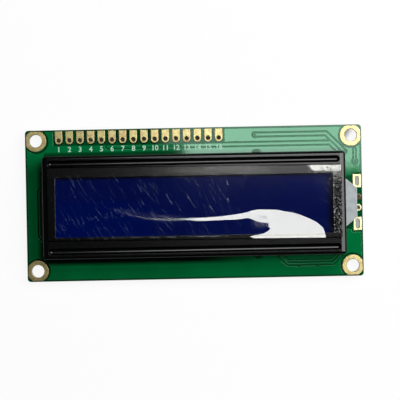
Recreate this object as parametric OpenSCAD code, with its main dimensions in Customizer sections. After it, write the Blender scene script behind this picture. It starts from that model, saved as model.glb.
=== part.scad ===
// Character LCD module, two lines of sixteen characters, with an edge-lit backlight.
//
// Frame: X runs along the display, Y towards the header pads, Z out of the display face.
// The origin is the centre of the four mounting holes, on the back face of the circuit board.

/* [Circuit board] */
// Length of the board
board_l = 80; // [78:0.5:86]
// Width of the board
board_w = 36; // [35:0.5:40]
// Thickness of the board
board_t = 1.6; // [1.0:0.1:2.4]
// Radius of the board's corners
board_corner_r = 0.8; // [0.4:0.1:1.5]
// Distance of each mounting hole from both edges of the board
hole_inset = 2.5; // [2.3:0.1:2.8]
// Diameter of the mounting holes, inside their plating
hole_d = 3.0; // [2.5:0.1:3.4]
// Diameter of the plated ring round each mounting hole
ring_d = 5.1; // [4.6:0.1:5.4]
// Thickness of copper foil and its plating
copper_t = 0.05; // [0.03:0.01:0.08]
// Bare edge between the copper and the outline of the board
edge_margin = 0.22; // [0.15:0.01:0.4]

/* [Header row] */
// Number of header pads
pin_count = 16; // [14:1:16]
// Pitch of the header pads
pin_pitch = 2.54; // [2.4:0.02:2.6]
// Distance of the first header hole from the left edge of the board
first_pin_inset = 8.0; // [7:0.5:9]
// Diameter of the header holes, inside their plating
pin_hole_d = 1.0; // [0.8:0.05:1.1]
// Width of a header pad
pin_pad_w = 1.8; // [1.6:0.05:2.0]

/* [Bezel] */
// Length of the bezel
bezel_l = 71.2; // [70.4:0.2:72]
// Width of the bezel
bezel_w = 24.2; // [23.8:0.1:24.6]
// Distance of the bezel's centre below the board's centre
bezel_drop = 0.5; // [0.3:0.1:0.8]
// Thickness of the sheet metal
sheet_t = 0.5; // [0.4:0.05:0.6]
// Radius of the fold along the top edges
fold_r = 0.65; // [0.6:0.05:0.9]
// Radius of the bezel's corners, seen from the front
bezel_corner_r = 1.0; // [0.8:0.05:1.2]
// Distance from the bezel's short edges to the display window
window_end_margin = 3.0; // [2.6:0.1:3.6]
// Distance from the bezel's long edges to the display window
window_side_margin = 5.1; // [4.7:0.1:5.6]
// Width of the pressed groove along each long edge
groove_w = 1.55; // [1.3:0.05:1.7]
// Distance of the groove's centre line from the bezel's long edge
groove_inset = 1.8; // [1.75:0.05:1.95]
// Distance of the groove's ends from the bezel's short edges
groove_end_inset = 1.3; // [1.2:0.05:1.8]
// Width of a twist tab
tab_w = 2.0; // [1.6:0.1:2.4]
// Number of twist tabs along each long edge
tab_count = 3; // [2:1:4]
// Distance between neighbouring twist tabs
tab_pitch = 15; // [14:0.5:16]
// How far the twist tabs reach below the board
tab_drop = 1.9; // [1.8:0.05:2.4]
// Turn of the twisted tab ends, in degrees
tab_twist = 35; // [25:1:50]

/* [Display cell] */
// Thickness of each sheet of glass
glass_t = 1.1; // [0.7:0.05:1.3]
// Thickness of each polariser
polariser_t = 0.3; // [0.2:0.02:0.4]
// Gap between the front polariser and the bezel
polariser_gap = 0.1; // [0.05:0.01:0.2]
// Overlap of the polarisers beyond the window, on every side
polariser_overlap = 1.0; // [0.6:0.1:1.2]
// Thickness of the sealed layer between the sheets of glass
seal_t = 0.05; // [0.03:0.01:0.08]
// Width of the perimeter seal
seal_w = 1.2; // [0.8:0.1:1.6]
// Gap between the glass and the bezel's walls
glass_clearance = 0.3; // [0.2:0.05:0.4]
// Distance from the bezel's short edges to the protective film over the window
film_end_margin = 0.95; // [0.75:0.05:2]
// Distance from the bezel's long edges to the protective film
film_side_margin = 3.4; // [3.3:0.1:3.8]
// Thickness of the protective film
film_t = 0.1; // [0.06:0.01:0.2]

/* [Connector strips] */
// Width of each elastomer connector strip
strip_w = 2.2; // [1.8:0.1:2.4]
// Gap between the ends of a connector strip and the bezel's short walls
strip_end_gap = 2.1; // [1.2:0.1:4]
// Number of contact fingers under each strip
finger_count = 40; // [30:1:44]
// Width of a contact finger
finger_w = 0.8; // [0.5:0.05:0.9]

/* [Backlight] */
// Thickness of the light guide
guide_t = 3.45; // [3:0.05:4.5]
// Thickness of the diffuser film
diffuser_t = 0.2; // [0.1:0.02:0.3]
// Thickness of the reflector film
reflector_t = 0.1; // [0.06:0.01:0.2]
// Gap between the ends of the light guide and the bezel's short walls
guide_end_gap = 2.1; // [1.6:0.1:4]
// How far the lamp nose reaches past the bezel
nose_reach = 2.9; // [2.4:0.1:3.1]
// Width of the lamp nose where it leaves the bezel
nose_root_w = 11.7; // [10.5:0.1:12.5]
// Width of the lamp nose at its tip
nose_tip_w = 6.9; // [6:0.1:8]
// Height of the lamp nose above the reflector film
nose_t = 2.9; // [2.5:0.1:2.9]
// Length of the lamp pocket in the nose, along the bezel
lamp_pocket_w = 5.6; // [5:0.1:6]
// Distance between the two slotted backlight pads
slot_pad_pitch = 10.16; // [9.8:0.02:10.6]
// Distance between the two round backlight pads
round_pad_pitch = 2.54; // [2.3:0.02:2.8]

/* [Back of the board] */
// Diameter of the two glob-top covers
glob_d = 17; // [14:0.5:18]
// Height of the glob-top covers
glob_h = 1.5; // [1.2:0.05:1.7]
// Distance between the two glob-top covers
glob_pitch = 29; // [26:0.5:32]
// Length of a chip resistor or capacitor
chip_l = 2.0; // [1.6:0.1:2.2]
// Width of a chip resistor or capacitor
chip_w = 1.25; // [0.8:0.05:1.4]
// Height of a chip resistor
resistor_h = 0.55; // [0.4:0.05:0.8]
// Height of a chip capacitor
capacitor_h = 0.9; // [0.6:0.05:1.2]

/* [Hidden] */
$fn = 48;

// A little more than nothing, so that a cut runs cleanly past a face
past = 0.5;

// Mounting holes and header row
hole_x = board_l / 2 - hole_inset;
hole_y = board_w / 2 - hole_inset;
first_pin_x = first_pin_inset - board_l / 2;
pin_row_y = hole_y;
pin_pad_inset = 0.3;
pin_pad_top = board_w / 2 - pin_pad_inset;
plating_t = 0.04;
pad_moat = 0.4;

// Backlight pads, beside the lamp nose
slot_pad_w = 2.0;
slot_pad_h = 3.15;
slot_w = 0.9;
slot_h = 2.3;
slot_pad_x = board_l / 2 - edge_margin - slot_pad_w / 2;
slot_rows_h = slot_pad_pitch + slot_pad_h + 2 * pad_moat;
round_pad_d = 1.6;
round_pad_hole_d = 0.9;
round_pad_x = board_l / 2 - edge_margin - round_pad_d / 2;

// Levels of the stack, from the front face of the board up to the top of the bezel
bezel_y = -bezel_drop;
z_front = board_t;
z_guide = z_front + reflector_t;
z_diffuser = z_guide + guide_t;
z_rear_polariser = z_diffuser + diffuser_t;
z_rear_glass = z_rear_polariser + polariser_t;
z_seal = z_rear_glass + glass_t;
z_front_glass = z_seal + seal_t;
z_front_polariser = z_front_glass + glass_t;
groove_depth = polariser_t + polariser_gap;
z_sheet = z_front_polariser + groove_depth;
z_top = z_sheet + sheet_t;

// Plan sizes inside the bezel
inner_l = bezel_l - 2 * sheet_t;
inner_w = bezel_w - 2 * sheet_t;
window_l = bezel_l - 2 * window_end_margin;
window_w = bezel_w - 2 * window_side_margin;
film_l = bezel_l - 2 * film_end_margin;
film_w = bezel_w - 2 * film_side_margin;
strip_l = inner_l - 2 * strip_end_gap;
guide_l = inner_l - 2 * guide_end_gap;
glass_l = inner_l - 2 * glass_clearance;
front_glass_w = inner_w - 2 * glass_clearance;
strip_clearance = 0.3;
strip_y = inner_w / 2 - strip_clearance - strip_w / 2;
ledge_gap = 0.4;
rear_glass_w = 2 * (strip_y - strip_w / 2 - ledge_gap);
seal_inset = 0.3;
guide_gap = 0.3;
guide_w = 2 * (strip_y - strip_w / 2 - guide_gap);
groove_y = bezel_w / 2 - groove_inset;
groove_l = bezel_l - 2 * groove_end_inset;
groove_r = (pow(groove_w / 2, 2) + pow(groove_depth, 2)) / (2 * groove_depth);
film_offset_y = 0.6;
film_turn = -0.4;
film_corner_r = 0.6;
plug_w = 2.4;
finger_overhang = 0.1;
finger_l = strip_w + 2 * finger_overhang;
finger_pitch = (strip_l - finger_w) / (finger_count - 1);

// Twist tabs and the board slots that they pass through
tab_slot_gap = 0.2;
tab_y = bezel_w / 2 - sheet_t / 2;
tab_xs = [for (i = [0 : tab_count - 1]) (i - (tab_count - 1) / 2) * tab_pitch];
tab_seat_gap = copper_t;
tab_joint = 0.1;
tab_twist_start = 0.3;
tab_clearing_d = tab_w + 2 * tab_slot_gap;

// Lamp nose
nose_notch_gap = 0.25;
nose_x = bezel_l / 2 + nose_reach;
nose_end_wall = 0.85;
nose_overlap = 1;
lamp_setback = 0.35;
lamp_x = bezel_l / 2 + lamp_setback;
lamp_pocket_l = nose_reach - lamp_setback - nose_end_wall;
lamp_pocket_h = 1.7;
lamp_gap = 0.1;
lead_w = 0.6;
lead_t = 0.15;
nose_moat = 0.5;

// Tracks on the front: each runs along the board and turns in under the bezel at 45 degrees
track_w = 0.7;
fine_track_w = 0.4;
track_gap = 0.28;
bezel_moat = 0.15;
pour_edge = 0.4;
via_d = 0.5;
via_pad_d = 1.05;
top_y = board_w / 2;
right_x = board_l / 2;
bezel_top_y = bezel_y + bezel_w / 2;
bezel_foot_y = bezel_y - bezel_w / 2;
bezel_right_x = bezel_l / 2;
track_end = bezel_moat + track_w / 2;
upper_track_inset = 2.0;
upper_track_start = 3.4;
upper_bend_inset = 4.0;
upper_track_y = top_y - upper_track_inset;
upper_track_x = first_pin_x + (pin_count - 1 + upper_track_start) * pin_pitch;
upper_track_bend_x = bezel_right_x - upper_bend_inset;
middle_track_inset = 4.2;
middle_track_start = 4.6;
middle_bend_inset = 3.1;
middle_track_y = top_y - middle_track_inset;
middle_track_x = first_pin_x + middle_track_start * pin_pitch;
middle_track_bend_x = bezel_right_x - middle_bend_inset;
lower_track_pitch = 0.7;
lower_track_drop = 1.6;
lower_track_l = 10.4;
lower_bend_inset = 3.2;
lower_track_y = bezel_foot_y - lower_track_drop;
lower_track_bend_x = bezel_right_x - lower_bend_inset;
lower_track_x = lower_track_bend_x - lower_track_l;
left_track_gap = 1.25;
left_track_x = -bezel_l / 2 - left_track_gap;
left_track_top_y = 3.5;
left_track_foot_y = -7.2;
left_track_turn = 0.7;
edge_via_inset = 1.7;
edge_via_x = right_x - edge_via_inset;
edge_via_y = 9.2;
edge_stub_l = 3;
lower_via_insets = [6.6, 11.1];

// Parts on the back
glob_y = -1.5;
chip_pitch = 2.6;
chip_y = -2;
resistor_count = 5;
resistor_inset = 6.5;
capacitor_count = 2;
capacitor_inset = 6.5;
chip_solder_l = 0.45;
chip_solder_rise = 0.7;
back_track_w = 0.3;
back_track_pitch = 0.9;
back_track_count = 12;
back_track_gap = 0.4;

// --- Helpers -------------------------------------------------------------

// A rectangle with round corners, centred on the origin
module rounded_rect(l, w, r) {
    square([l - 2 * r, w], center = true);
    square([l, w - 2 * r], center = true);
    for (sx = [-1, 1], sy = [-1, 1])
        translate([sx * (l / 2 - r), sy * (w / 2 - r)]) circle(r = r);
}

// A slot with round ends, standing along Y
module upright_slot(w, h) {
    square([w, h - w], center = true);
    for (s = [-1, 1]) translate([0, s * (h - w) / 2]) circle(d = w);
}

// A flat sheet, centred on the bezel's centre, from level z upwards
module sheet(l, w, t, z) {
    translate([0, bezel_y, z + t / 2]) cube([l, w, t], center = true);
}

// Each mounting hole
module at_mounting_holes() {
    for (sx = [-1, 1], sy = [-1, 1]) translate([sx * hole_x, sy * hole_y]) children();
}

// Each header hole
module at_header_holes() {
    for (i = [0 : pin_count - 1])
        translate([first_pin_x + i * pin_pitch, pin_row_y]) children();
}

// Each slotted backlight pad, then each round one
module at_slot_pads() {
    for (s = [-1, 1])
        translate([slot_pad_x, bezel_y + s * slot_pad_pitch / 2]) children();
}

module at_round_pads() {
    for (s = [-1, 1])
        translate([round_pad_x, bezel_y + s * round_pad_pitch / 2]) children();
}

// Each slot that a twist tab passes through
module at_tabs() {
    for (x = tab_xs, s = [-1, 1]) translate([x, bezel_y + s * tab_y]) children();
}

// One straight length of track, with round ends
module track_run(a, b, w) {
    d = b - a;
    translate(a) {
        circle(d = w);
        rotate(atan2(d[1], d[0])) translate([0, -w / 2]) square([norm(d), w]);
    }
    translate(b) circle(d = w);
}

// A track through a list of points
module track(points, w) {
    for (i = [0 : len(points) - 2]) track_run(points[i], points[i + 1], w);
}

// --- Circuit board and its copper ----------------------------------------

module board_outline(inset) {
    rounded_rect(board_l - 2 * inset, board_w - 2 * inset, board_corner_r);
}

module circuit_board() {
    color([0.02, 0.32, 0.16])
    linear_extrude(board_t) difference() {
        board_outline(0);
        at_mounting_holes() circle(d = hole_d + 2 * plating_t);
        at_header_holes() circle(d = pin_hole_d + 2 * plating_t);
        at_slot_pads() upright_slot(slot_w + 2 * plating_t, slot_h + 2 * plating_t);
        at_round_pads() circle(d = round_pad_hole_d + 2 * plating_t);
        at_tabs() square([tab_w + 2 * tab_slot_gap, sheet_t + 2 * tab_slot_gap], center = true);
    }
}

// A plated hole: foil on both faces and a barrel through the board.
// The first child is the foil on the front, the second on the back,
// the third the outside of the barrel and the fourth the open hole.
module plated_hole() {
    difference() {
        union() {
            translate([0, 0, board_t]) linear_extrude(copper_t) children(0);
            translate([0, 0, -copper_t]) linear_extrude(copper_t) children(1);
            linear_extrude(board_t) children(2);
        }
        translate([0, 0, -past]) linear_extrude(board_t + 2 * past) children(3);
    }
}

module mounting_hole_plating() {
    color([0.85, 0.72, 0.42])
    intersection() {
        at_mounting_holes() plated_hole() {
            circle(d = ring_d);
            circle(d = ring_d);
            circle(d = hole_d + 2 * plating_t);
            circle(d = hole_d);
        }
        translate([0, 0, -past]) linear_extrude(board_t + 2 * past) board_outline(edge_margin);
    }
}

// Outline of a header pad: round below the hole and square up to the board's edge
module header_pad_outline() {
    circle(d = pin_pad_w);
    translate([-pin_pad_w / 2, 0]) square([pin_pad_w, pin_pad_top - pin_row_y]);
}

module header_pads() {
    color([0.85, 0.72, 0.42])
    at_header_holes() plated_hole() {
        header_pad_outline();
        circle(d = pin_pad_w);
        circle(d = pin_hole_d + 2 * plating_t);
        circle(d = pin_hole_d);
    }
}

module backlight_slot_pads() {
    color([0.85, 0.72, 0.42])
    at_slot_pads() plated_hole() {
        square([slot_pad_w, slot_pad_h], center = true);
        square([slot_pad_w, slot_pad_h], center = true);
        upright_slot(slot_w + 2 * plating_t, slot_h + 2 * plating_t);
        upright_slot(slot_w, slot_h);
    }
}

module backlight_round_pads() {
    color([0.85, 0.72, 0.42])
    at_round_pads() plated_hole() {
        circle(d = round_pad_d);
        circle(d = round_pad_d);
        circle(d = round_pad_hole_d + 2 * plating_t);
        circle(d = round_pad_hole_d);
    }
}

// A track that starts at a point, runs to bend_x and turns in to within end of the bezel
function track_to_bezel_top(start, bend_x, end) = let(drop = start[1] - bezel_top_y - end) [
    start,
    [bend_x, start[1]],
    [bend_x + drop, start[1] - drop]
];

// One of the two tracks below the bezel, with both ends turned up towards its lower edge
function lower_track(i, end) = let(
    y = lower_track_y - i * lower_track_pitch,
    rise = bezel_foot_y - end - y,
    bend_x = lower_track_bend_x + i * lower_track_pitch / 2
) [
    [lower_track_x - rise, y + rise],
    [lower_track_x, y],
    [bend_x, y],
    [bend_x + rise, y + rise]
];

function left_track() = [
    [left_track_x + left_track_turn, left_track_top_y + left_track_turn],
    [left_track_x, left_track_top_y],
    [left_track_x, left_track_foot_y],
    [left_track_x + left_track_turn, left_track_foot_y - left_track_turn]
];

// The front tracks, each made wider by extra on both sides and stopping end from the bezel
module front_tracks(extra, end) {
    upper_start = [upper_track_x, upper_track_y];
    middle_start = [middle_track_x, middle_track_y];
    edge_via = [edge_via_x, edge_via_y];
    track(track_to_bezel_top(upper_start, upper_track_bend_x, end), track_w + 2 * extra);
    track(track_to_bezel_top(middle_start, middle_track_bend_x, end), track_w + 2 * extra);
    for (i = [0, 1]) track(lower_track(i, end), fine_track_w + 2 * extra);
    track(left_track(), fine_track_w + 2 * extra);
    track([edge_via, edge_via + [0, edge_stub_l]], fine_track_w + 2 * extra);
    for (via = [upper_start, edge_via]) translate(via) circle(d = via_pad_d + 2 * extra);
}

// Small holes in the copper where it is joined to the back
module front_vias() {
    translate([upper_track_x, upper_track_y]) circle(d = via_d);
    translate([edge_via_x, edge_via_y]) circle(d = via_d);
    for (inset = lower_via_insets)
        translate([bezel_right_x - inset, -hole_y]) circle(d = via_d);
}

// Clear space round the plated ring of each mounting hole
module ring_moats() {
    at_mounting_holes() circle(d = ring_d + 2 * pad_moat);
}

// The copper under the solder mask: a pour that rings the bezel, and the tracks in it
module front_copper() {
    color([0.03, 0.42, 0.22])
    translate([0, 0, board_t]) linear_extrude(copper_t) {
        difference() {
            rounded_rect(board_l - 2 * pour_edge, board_w - 2 * pour_edge, board_corner_r);
            translate([0, bezel_y])
                square([bezel_l + 2 * bezel_moat, bezel_w + 2 * bezel_moat], center = true);
            translate([(bezel_right_x + nose_x) / 2, bezel_y])
                square([nose_reach + 2 * nose_moat, nose_root_w + 2 * nose_moat], center = true);
            for (s = [-1, 1])
                translate([max(tab_xs), bezel_y + s * tab_y]) circle(d = tab_clearing_d);
            ring_moats();
            translate([first_pin_x - pin_pad_w / 2 - pad_moat, pin_row_y - pin_pad_w / 2 - pad_moat])
                square([(pin_count - 1) * pin_pitch + pin_pad_w + 2 * pad_moat, board_w]);
            translate([slot_pad_x - slot_pad_w / 2 - pad_moat, bezel_y - slot_rows_h / 2])
                square([board_l, slot_rows_h]);
            front_tracks(track_gap, 0);
            front_vias();
        }
        difference() {
            front_tracks(0, track_end);
            front_vias();
            ring_moats();
        }
    }
}

// Tracks on the back, from each glob-top out to the rows of contacts
module back_copper() {
    color([0.03, 0.42, 0.22])
    translate([0, 0, -copper_t]) linear_extrude(copper_t)
    for (gx = [-1, 1], sy = [-1, 1], i = [0 : back_track_count - 1]) {
        along = (i - (back_track_count - 1) / 2) * back_track_pitch;
        root_y = glob_y + sy * (sqrt(pow(glob_d / 2, 2) - pow(along, 2)) + back_track_gap);
        end_y = bezel_y + sy * (strip_y + strip_w / 2);
        translate([gx * glob_pitch / 2 + along - back_track_w / 2, min(root_y, end_y)])
            square([back_track_w, abs(end_y - root_y)]);
    }
}

// Two rows of contact fingers, under the connector strips
module contact_fingers() {
    color([0.85, 0.72, 0.42])
    for (sy = [-1, 1], i = [0 : finger_count - 1])
        translate([
            (i - (finger_count - 1) / 2) * finger_pitch,
            bezel_y + sy * strip_y,
            board_t + copper_t / 2
        ])
            cube([finger_w, finger_l, copper_t], center = true);
}

// --- Bezel and film -------------------------------------------------------

// Side view of the bezel: square at the foot and folded round at the top
module folded_profile(span, rise, r) {
    translate([-span / 2, 0]) square([span, rise - r]);
    translate([-span / 2 + r, 0]) square([span - 2 * r, rise]);
    for (s = [-1, 1]) translate([s * (span / 2 - r), rise - r]) circle(r = r);
}

module bezel_block() {
    rise = z_top - z_front;
    intersection() {
        linear_extrude(rise) rounded_rect(bezel_l, bezel_w, bezel_corner_r);
        rotate([90, 0, 0])
            linear_extrude(bezel_w + 2, center = true) folded_profile(bezel_l, rise, fold_r);
        rotate([90, 0, 90])
            linear_extrude(bezel_l + 2, center = true) folded_profile(bezel_w, rise, fold_r);
    }
}

// The round-ended rod that a groove is pressed with, sunk by groove_depth into the top face.
// With the sheet's thickness as extra, it is the rib that the groove makes underneath.
module groove_rod(extra) {
    straight = groove_l - groove_w;
    translate([0, 0, z_top - z_front + groove_r - groove_depth]) {
        rotate([0, 90, 0]) cylinder(r = groove_r + extra, h = straight, center = true, $fn = 96);
        for (s = [-1, 1])
            translate([s * straight / 2, 0, 0]) sphere(r = groove_r + extra, $fn = 96);
    }
}

// The part of that rib that stands out below the sheet
module groove_rib() {
    intersection() {
        groove_rod(sheet_t);
        translate([-bezel_l / 2, -bezel_w / 2, z_front_polariser - z_front - past])
            cube([bezel_l, bezel_w, groove_depth + sheet_t / 2 + past]);
    }
}

// One tab: upright through its slot in the board and twisted below it
module twist_tab() {
    translate([-tab_w / 2, -sheet_t / 2, -tab_twist_start])
        cube([tab_w, sheet_t, tab_twist_start + z_front + tab_joint]);
    rotate(tab_twist)
        translate([0, 0, -(tab_drop + tab_seat_gap) / 2])
            cube([tab_w, sheet_t, tab_drop - tab_seat_gap], center = true);
}

module bezel() {
    color([0.05, 0.05, 0.05]) {
        translate([0, bezel_y, z_front]) difference() {
            union() {
                difference() {
                    bezel_block();
                    translate([-inner_l / 2, -inner_w / 2, -past])
                        cube([inner_l, inner_w, z_sheet - z_front + past]);
                }
                for (s = [-1, 1]) translate([0, s * groove_y, 0]) groove_rib();
            }
            for (s = [-1, 1]) translate([0, s * groove_y, 0]) groove_rod(0);
            translate([0, 0, z_sheet - z_front - past])
                linear_extrude(sheet_t + 2 * past) square([window_l, window_w], center = true);
            translate([bezel_l / 2 - 2 * sheet_t, -nose_root_w / 2 - nose_notch_gap, -past])
                cube([
                    3 * sheet_t,
                    nose_root_w + 2 * nose_notch_gap,
                    reflector_t + nose_t + nose_notch_gap + past
                ]);
        }
        at_tabs() twist_tab();
    }
}

module protective_film() {
    color([0.75, 0.8, 0.95, 0.25])
    translate([0, bezel_y + film_offset_y, z_top]) rotate(film_turn)
        linear_extrude(film_t) rounded_rect(film_l, film_w, film_corner_r);
}

// --- Display cell ----------------------------------------------------------

module front_polariser() {
    color([0.02, 0.03, 0.28])
    sheet(window_l + 2 * polariser_overlap, window_w + 2 * polariser_overlap,
          polariser_t, z_front_polariser);
}

module front_glass() {
    color([0.6, 0.7, 0.7, 0.5])
    sheet(glass_l, front_glass_w, glass_t, z_front_glass);
}

module seal_opening() {
    square([
        glass_l - 2 * (seal_inset + seal_w),
        rear_glass_w - 2 * (seal_inset + seal_w)
    ], center = true);
}

module perimeter_seal() {
    color([0.8, 0.8, 0.75])
    translate([0, bezel_y, z_seal]) linear_extrude(seal_t) difference() {
        square([glass_l - 2 * seal_inset, rear_glass_w - 2 * seal_inset], center = true);
        seal_opening();
    }
}

module liquid_crystal() {
    color([0.05, 0.1, 0.5])
    translate([0, bezel_y, z_seal]) linear_extrude(seal_t) seal_opening();
}

// The dab of resin that closes the filling port, on the left end of the glass
module fill_port_plug() {
    color([0.75, 0.75, 0.7])
    translate([-glass_l / 2 - glass_clearance / 2, bezel_y, z_front_glass - glass_t / 2])
        cube([glass_clearance, plug_w, 1.4 * glass_t], center = true);
}

module rear_glass() {
    color([0.6, 0.7, 0.7, 0.5])
    sheet(glass_l, rear_glass_w, glass_t, z_rear_glass);
}

module rear_polariser() {
    color([0.1, 0.1, 0.3])
    sheet(window_l + 2 * polariser_overlap, window_w + 2 * polariser_overlap,
          polariser_t, z_rear_polariser);
}

// --- Connector strips ------------------------------------------------------

// An elastomer strip squeezed between the contact fingers and the front glass's ledge
module connector_strip(side) {
    z_foot = board_t + copper_t;
    color([0.85, 0.6, 0.55])
    translate([0, bezel_y + side * strip_y, (z_foot + z_front_glass) / 2])
        cube([strip_l, strip_w, z_front_glass - z_foot], center = true);
}

// --- Backlight -------------------------------------------------------------

module diffuser_film() {
    color([0.95, 0.95, 0.95])
    sheet(guide_l, guide_w, diffuser_t, z_diffuser);
}

module reflector_film() {
    color([0.98, 0.98, 0.98])
    sheet(guide_l, guide_w, reflector_t, z_front);
}

// The moulded guide, with the nose that holds the lamps outside the bezel
module light_guide() {
    color([0.82, 0.85, 0.88])
    translate([0, bezel_y, z_guide]) difference() {
        union() {
            translate([-guide_l / 2, -guide_w / 2, 0]) cube([guide_l, guide_w, guide_t]);
            linear_extrude(nose_t) polygon([
                [guide_l / 2 - nose_overlap, -nose_root_w / 2],
                [bezel_l / 2, -nose_root_w / 2],
                [nose_x, -nose_tip_w / 2],
                [nose_x, nose_tip_w / 2],
                [bezel_l / 2, nose_root_w / 2],
                [guide_l / 2 - nose_overlap, nose_root_w / 2]
            ]);
        }
        translate([lamp_x, -lamp_pocket_w / 2, -past])
            cube([lamp_pocket_l, lamp_pocket_w, lamp_pocket_h + past]);
    }
}

// Centre lines of the two lamps, measured from the bezel's centre
function lamp_ys() = [for (s = [-1, 1]) s * lamp_pocket_w / 4];

module backlight_lamps() {
    color([0.95, 0.9, 0.6])
    for (y = lamp_ys())
        translate([
            lamp_x + lamp_gap,
            bezel_y + y - lamp_pocket_w / 4 + lamp_gap,
            z_guide + lead_t
        ])
            cube([
                lamp_pocket_l - 2 * lamp_gap,
                lamp_pocket_w / 2 - 2 * lamp_gap,
                lamp_pocket_h - lead_t - lamp_gap
            ]);
}

// A flat lead under each end of the pair of lamps
module lamp_leads() {
    color([0.8, 0.8, 0.8])
    for (s = [-1, 1])
        translate([
            lamp_x + lamp_pocket_l / 2,
            bezel_y + s * (lamp_pocket_w / 2 - lamp_gap - lead_w),
            z_guide + lead_t / 2
        ])
            cube([lamp_pocket_l - 2 * lamp_gap, lead_w, lead_t], center = true);
}

// Solder between each lead and the board
module lamp_solder() {
    color([0.75, 0.75, 0.78])
    for (s = [-1, 1])
        translate([
            lamp_x + lamp_pocket_l / 2,
            bezel_y + s * (lamp_pocket_w / 2 - lamp_gap - lead_w),
            z_front + reflector_t / 2
        ])
            cube([lamp_pocket_l - 3 * lamp_gap, lead_w + lamp_gap, reflector_t], center = true);
}

// --- Back of the board ------------------------------------------------------

// A shallow dome of black resin over a bare die
module glob_top(side) {
    dome_r = (pow(glob_d / 2, 2) + pow(glob_h, 2)) / (2 * glob_h);
    color([0.03, 0.03, 0.03])
    translate([side * glob_pitch / 2, glob_y, 0]) rotate_extrude($fn = 96) intersection() {
        translate([0, dome_r - glob_h]) circle(r = dome_r, $fn = 720);
        translate([0, -glob_h]) square([glob_d / 2, glob_h]);
    }
}

// A column of resistors on the right and one of capacitors on the left
module at_resistors() {
    for (i = [0 : resistor_count - 1])
        translate([
            right_x - resistor_inset,
            chip_y + (i - (resistor_count - 1) / 2) * chip_pitch
        ]) children();
}

module at_capacitors() {
    for (i = [0 : capacitor_count - 1])
        translate([
            capacitor_inset - right_x,
            chip_y + (2 * i - (capacitor_count - 1)) * chip_pitch
        ]) children();
}

// A chip body, standing off the board by the foil under its ends
module chip_body(h) {
    translate([0, 0, -copper_t - h / 2]) cube([chip_l, chip_w, h], center = true);
}

// The two soldered ends of a chip, as far as the foil that they sit on
module chip_ends(h) {
    for (s = [-1, 1])
        translate([s * (chip_l + chip_solder_l) / 2, 0, -(copper_t + chip_solder_rise * h) / 2])
            cube([chip_solder_l, chip_w, copper_t + chip_solder_rise * h], center = true);
}

module chip_resistors() {
    color([0.08, 0.08, 0.08]) at_resistors() chip_body(resistor_h);
}

module chip_capacitors() {
    color([0.55, 0.42, 0.3]) at_capacitors() chip_body(capacitor_h);
}

module chip_solder() {
    color([0.75, 0.75, 0.78]) {
        at_resistors() chip_ends(resistor_h);
        at_capacitors() chip_ends(capacitor_h);
    }
}

// --- Nodes -------------------------------------------------------------------

circuit_board();
mounting_hole_plating();
header_pads();
backlight_slot_pads();
backlight_round_pads();
front_copper();
back_copper();
contact_fingers();
bezel();
protective_film();
front_polariser();
front_glass();
perimeter_seal();
liquid_crystal();
fill_port_plug();
rear_glass();
rear_polariser();
connector_strip(1);  // upper_connector_strip
connector_strip(-1);  // lower_connector_strip
diffuser_film();
light_guide();
reflector_film();
backlight_lamps();
lamp_leads();
lamp_solder();
glob_top(-1);  // controller_glob_top
glob_top(1);  // driver_glob_top
chip_resistors();
chip_capacitors();
chip_solder();
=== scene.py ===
"""A two-line character display module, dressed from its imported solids: real finishes on every solid,
a screen film that has lifted at one corner, printed pin numbers, and a soft studio.

Shapes and places are in metres. Patterns, and the film's own lie, are worked out in millimetres.
"""

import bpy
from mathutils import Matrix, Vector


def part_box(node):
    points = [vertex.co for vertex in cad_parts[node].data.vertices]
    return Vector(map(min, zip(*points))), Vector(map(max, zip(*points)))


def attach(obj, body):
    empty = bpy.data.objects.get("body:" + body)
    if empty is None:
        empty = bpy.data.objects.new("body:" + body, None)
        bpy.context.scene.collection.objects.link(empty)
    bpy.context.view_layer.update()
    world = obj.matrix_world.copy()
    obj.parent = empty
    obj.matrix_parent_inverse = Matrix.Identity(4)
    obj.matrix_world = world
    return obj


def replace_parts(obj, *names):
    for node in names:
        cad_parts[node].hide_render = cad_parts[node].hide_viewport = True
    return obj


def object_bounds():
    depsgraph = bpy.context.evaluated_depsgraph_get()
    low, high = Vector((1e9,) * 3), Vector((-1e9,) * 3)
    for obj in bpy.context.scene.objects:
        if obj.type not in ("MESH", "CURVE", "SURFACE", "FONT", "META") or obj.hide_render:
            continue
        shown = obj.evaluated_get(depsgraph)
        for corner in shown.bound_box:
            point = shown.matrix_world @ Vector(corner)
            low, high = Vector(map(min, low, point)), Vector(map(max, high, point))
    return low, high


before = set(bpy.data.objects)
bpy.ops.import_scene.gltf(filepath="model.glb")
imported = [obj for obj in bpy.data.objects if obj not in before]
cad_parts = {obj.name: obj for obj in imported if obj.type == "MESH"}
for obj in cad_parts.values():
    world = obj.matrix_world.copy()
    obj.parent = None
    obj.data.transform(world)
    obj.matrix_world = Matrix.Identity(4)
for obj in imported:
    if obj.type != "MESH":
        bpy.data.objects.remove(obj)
cad_box = [list(corner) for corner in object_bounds()]

import math

import bmesh
import bpy
from mathutils import Matrix, Vector

MM = 0.001

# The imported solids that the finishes, the film and the numbers follow
board_low, board_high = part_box("circuit_board")
copper_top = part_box("front_copper")[1].z
pads_low, pads_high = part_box("header_pads")
screen_low, screen_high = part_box("front_polariser")
sheet_low, sheet_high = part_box("protective_film")
bezel_low, bezel_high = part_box("bezel")
round_pads_low, round_pads_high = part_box("backlight_round_pads")
slots_low, slots_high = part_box("backlight_slot_pads")
rings_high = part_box("mounting_hole_plating")[1]

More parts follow.
